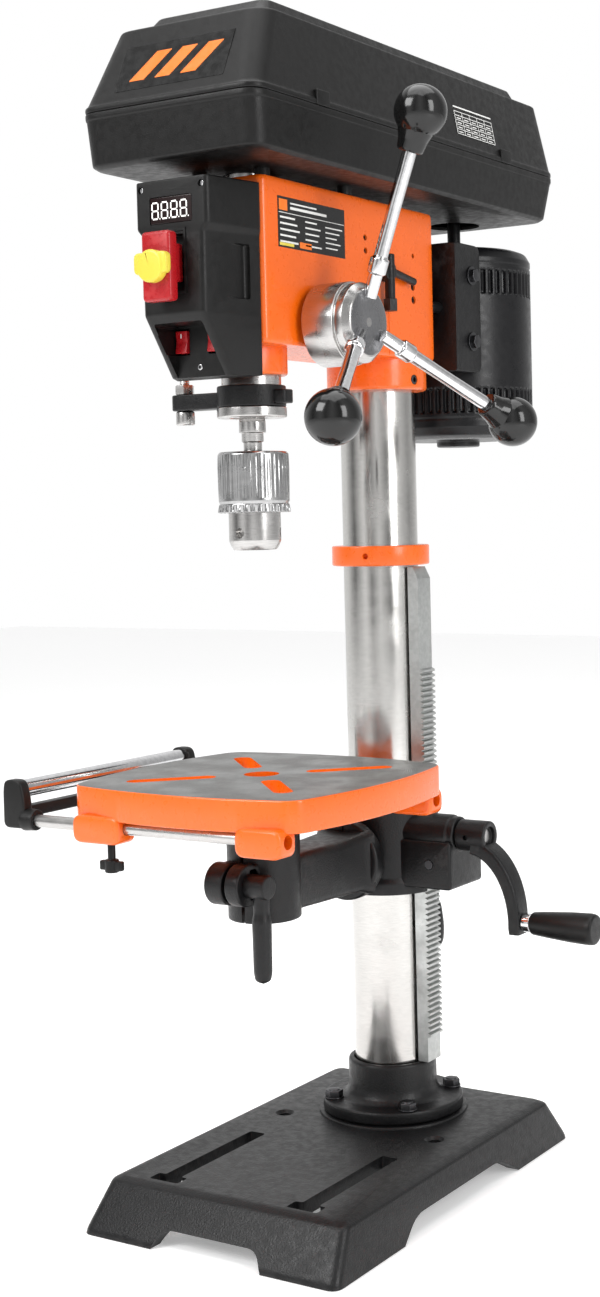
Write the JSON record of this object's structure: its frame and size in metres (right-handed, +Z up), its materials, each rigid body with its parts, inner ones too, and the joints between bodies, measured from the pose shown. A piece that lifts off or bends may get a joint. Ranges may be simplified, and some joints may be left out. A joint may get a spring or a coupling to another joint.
{
  "type": "drill press",
  "caption": "Bench drill press with a belt-driven spindle, keyed chuck, three-spoke feed handle, crank-raised tilting table and a sliding roller support.",
  "frame": {"origin": "centre of the bounding box in plan, on the plane the base stands on", "axes": "+Z up along the column, -Y towards the operator, +X to the operator's right, the crank and feed handle side"},
  "size_m": [0.378, 0.516, 0.947],
  "materials": {
    "orange_paint": "gloss",
    "black_casting": "satin textured paint",
    "motor_paint": null,
    "black_plastic": "satin",
    "polished_steel": "polished",
    "dark_steel": "oiled",
    "red_plastic": "satin",
    "yellow_plastic": "satin",
    "rubber": "matte",
    "display_glass": "gloss"
  },
  "bodies": {
    "root": {"base": "black_casting", "column_flange": "black_casting", "flange_bolt_1": "dark_steel", "flange_bolt_2": "dark_steel", "flange_bolt_3": "dark_steel", "flange_bolt_4": "dark_steel", "column": "polished_steel", "rack_collar": "orange_paint", "head_casting": "orange_paint", "head_set_screw": "dark_steel", "return_spring_cap": "black_casting", "switch_box": "black_plastic", "speed_display": "display_glass", "cover_base": "black_plastic", "drive_belt": "rubber"},
    "rack_ring": {"rack": "dark_steel"},
    "bracket": {"table_bracket": "black_casting", "tilt_bolt": "dark_steel"},
    "crank": {"crank_arm": "black_casting", "worm_shaft": "polished_steel"},
    "crank_handle": {"crank_grip": "black_plastic"},
    "lift_gear": {"worm_wheel": "dark_steel"},
    "bracket_lock": {"bracket_lock_lever": "black_casting"},
    "arm": {"table_arm": "black_casting"},
    "table_lock": {"table_lock_lever": "black_casting"},
    "work_table": {"table": "orange_paint"},
    "extension": {"extension_frame": "black_plastic", "extension_rod_front": "polished_steel", "extension_rod_rear": "polished_steel"},
    "roller": {"extension_roller": "polished_steel"},
    "thumb_front": {"thumb_screw_front": "black_plastic"},
    "thumb_rear": {"thumb_screw_rear": "black_plastic"},
    "feed": {"feed_hub": "polished_steel", "feed_arm_1": "polished_steel", "feed_knob_1": "black_plastic", "feed_arm_2": "polished_steel", "feed_knob_2": "black_plastic", "feed_arm_3": "polished_steel", "feed_knob_3": "black_plastic"},
    "quill_slide": {"quill": "polished_steel", "depth_stop_collar": "black_casting", "depth_rod": "dark_steel", "depth_lock_nut": "polished_steel"},
    "stop_nut": {"depth_stop_nut": "polished_steel"},
    "spindle_turn": {"spindle": "polished_steel", "chuck_body": "polished_steel"},
    "sleeve": {"chuck_sleeve": "dark_steel"},
    "jaw_1": {"chuck_jaw_1": "dark_steel"},
    "jaw_2": {"chuck_jaw_2": "dark_steel"},
    "jaw_3": {"chuck_jaw_3": "dark_steel"},
    "front_pulley": {"spindle_pulley": "dark_steel"},
    "motor_slide": {"motor_mount": "black_casting", "motor": "motor_paint"},
    "rear_pulley": {"motor_pulley": "dark_steel"},
    "tension": {"tension_lever": "black_casting"},
    "paddle": {"switch_paddle": "red_plastic"},
    "key": {"switch_key": "yellow_plastic"},
    "rocker_l": {"rocker_left": "red_plastic"},
    "rocker_r": {"rocker_right": "red_plastic"},
    "lid": {"cover_lid": "black_plastic"}
  },
  "joints": [
    {"name": "table_swing", "type": "hinge", "parent": "root", "child": "rack_ring", "pos_m": [-0.018, 0.047, 0.087], "axis": [0, 0, 1], "range_deg": [-180, 180]},
    {"name": "table_lift", "type": "slide", "parent": "rack_ring", "child": "bracket", "axis": [0, 0, 1], "range_m": [-0.11, 0.17]},
    {"name": "crank_turn", "type": "hinge", "parent": "bracket", "child": "crank", "pos_m": [0.092, 0.034, 0.2885], "axis": [1, 0, 0], "range_deg": [-7460, 11530]},
    {"name": "crank_handle_spin", "type": "hinge", "parent": "crank", "child": "crank_handle", "pos_m": [0.122, 0.034, 0.219], "axis": [1, 0, 0], "continuous": true},
    {"name": "lift_gear_turn", "type": "hinge", "parent": "bracket", "child": "lift_gear", "pos_m": [0.042, 0.047, 0.264], "axis": [0, 1, 0], "range_deg": [-721, 467]},
    {"name": "bracket_lock_turn", "type": "hinge", "parent": "bracket", "child": "bracket_lock", "pos_m": [-0.018, 0.105, 0.274], "axis": [1, 0, 0], "range_deg": [-4, 90]},
    {"name": "table_tilt", "type": "hinge", "parent": "bracket", "child": "arm", "pos_m": [-0.018, -0.013, 0.27], "axis": [0, 1, 0], "range_deg": [-45, 45]},
    {"name": "table_lock_turn", "type": "hinge", "parent": "arm", "child": "table_lock", "pos_m": [-0.018, -0.177, 0.278], "axis": [1, 0, 0], "range_deg": [-90, 4]},
    {"name": "table_turn", "type": "hinge", "parent": "arm", "child": "work_table", "pos_m": [-0.018, -0.1379, 0.3342], "axis": [0, 0, 1], "range_deg": [-8, 90]},
    {"name": "extension_slide", "type": "slide", "parent": "work_table", "child": "extension", "axis": [-1, 0, 0], "range_m": [-0.029, 0.1]},
    {"name": "roller_spin", "type": "hinge", "parent": "extension", "child": "roller", "pos_m": [-0.179, -0.1379, 0.3515], "axis": [0, 1, 0], "continuous": true},
    {"name": "thumb_front_turn", "type": "hinge", "parent": "work_table", "child": "thumb_front", "pos_m": [-0.084, -0.243, 0.298], "axis": [0, 0, 1], "continuous": true},
    {"name": "thumb_rear_turn", "type": "hinge", "parent": "work_table", "child": "thumb_rear", "pos_m": [-0.084, -0.0328, 0.298], "axis": [0, 0, 1], "continuous": true},
    {"name": "feed_turn", "type": "hinge", "parent": "root", "child": "feed", "pos_m": [0.066, -0.1055, 0.7098], "axis": [1, 0, 0], "range_deg": [0, 374], "stiffness_Nm_per_rad": 0.2, "springref_deg": -286.48},
    {"name": "quill_feed", "type": "slide", "parent": "root", "child": "quill_slide", "axis": [0, 0, -1], "range_m": [0, 0.08]},
    {"name": "stop_nut_travel", "type": "slide", "parent": "quill_slide", "child": "stop_nut", "axis": [0, 0, -1], "range_m": [0, 0.07]},
    {"name": "spindle_spin", "type": "hinge", "parent": "quill_slide", "child": "spindle_turn", "pos_m": [-0.018, -0.1379, 0.64], "axis": [0, 0, 1], "continuous": true},
    {"name": "sleeve_turn", "type": "hinge", "parent": "spindle_turn", "child": "sleeve", "pos_m": [-0.018, -0.1379, 0.565], "axis": [0, 0, 1], "range_deg": [-455, 620]},
    {"name": "jaw_1_slide", "type": "slide", "parent": "spindle_turn", "child": "jaw_1", "axis": [0, 0.2079, 0.9781], "range_m": [-0.014, 0.019]},
    {"name": "jaw_2_slide", "type": "slide", "parent": "spindle_turn", "child": "jaw_2", "axis": [-0.1801, -0.104, 0.9781], "range_m": [-0.014, 0.019]},
    {"name": "jaw_3_slide", "type": "slide", "parent": "spindle_turn", "child": "jaw_3", "axis": [0.1801, -0.104, 0.9781], "range_m": [-0.014, 0.019]},
    {"name": "front_pulley_spin", "type": "hinge", "parent": "root", "child": "front_pulley", "pos_m": [-0.018, -0.1379, 0.856], "axis": [0, 0, 1], "continuous": true},
    {"name": "motor_tension_slide", "type": "slide", "parent": "root", "child": "motor_slide", "axis": [0, -1, 0], "range_m": [0, 0.008]},
    {"name": "rear_pulley_spin", "type": "hinge", "parent": "motor_slide", "child": "rear_pulley", "pos_m": [-0.018, 0.188, 0.856], "axis": [0, 0, 1], "continuous": true},
    {"name": "tension_lever_turn", "type": "hinge", "parent": "root", "child": "tension", "pos_m": [0.0251, -0.01, 0.762], "axis": [1, 0, 0], "range_deg": [-1, 29]},
    {"name": "paddle_press", "type": "hinge", "parent": "root", "child": "paddle", "pos_m": [-0.02, -0.237, 0.774], "axis": [1, 0, 0], "range_deg": [-4, 1], "stiffness_Nm_per_rad": 1.5},
    {"name": "key_pull", "type": "slide", "parent": "paddle", "child": "key", "axis": [0, -1, 0], "range_m": [0, 0.01]},
    {"name": "rocker_left_press", "type": "hinge", "parent": "root", "child": "rocker_l", "pos_m": [-0.035, -0.197, 0.695], "axis": [1, 0, 0], "range_deg": [-9, 9]},
    {"name": "rocker_right_press", "type": "hinge", "parent": "root", "child": "rocker_r", "pos_m": [-0.005, -0.197, 0.695], "axis": [1, 0, 0], "range_deg": [-9, 9]},
    {"name": "lid_open", "type": "hinge", "parent": "root", "child": "lid", "pos_m": [-0.1018, 0.047, 0.86815], "axis": [0, -1, 0], "range_deg": [0, 95]}
  ],
  "couplings": [
    {"joint": "table_lift", "follows": "crank_turn", "m_per_rad": 0.00084375},
    {"joint": "lift_gear_turn", "follows": "crank_turn", "ratio": -0.0625},
    {"joint": "quill_feed", "follows": "feed_turn", "m_per_rad": 0.01225},
    {"joint": "tension_lever_turn", "follows": "motor_tension_slide", "rad_per_m": 61},
    {"joint": "spindle_spin", "follows": "front_pulley_spin", "ratio": 1},
    {"joint": "rear_pulley_spin", "follows": "front_pulley_spin", "ratio": 1.6667},
    {"joint": "jaw_1_slide", "follows": "sleeve_turn", "m_per_rad": 0.00175},
    {"joint": "jaw_2_slide", "follows": "sleeve_turn", "m_per_rad": 0.00175},
    {"joint": "jaw_3_slide", "follows": "sleeve_turn", "m_per_rad": 0.00175}
  ]
}
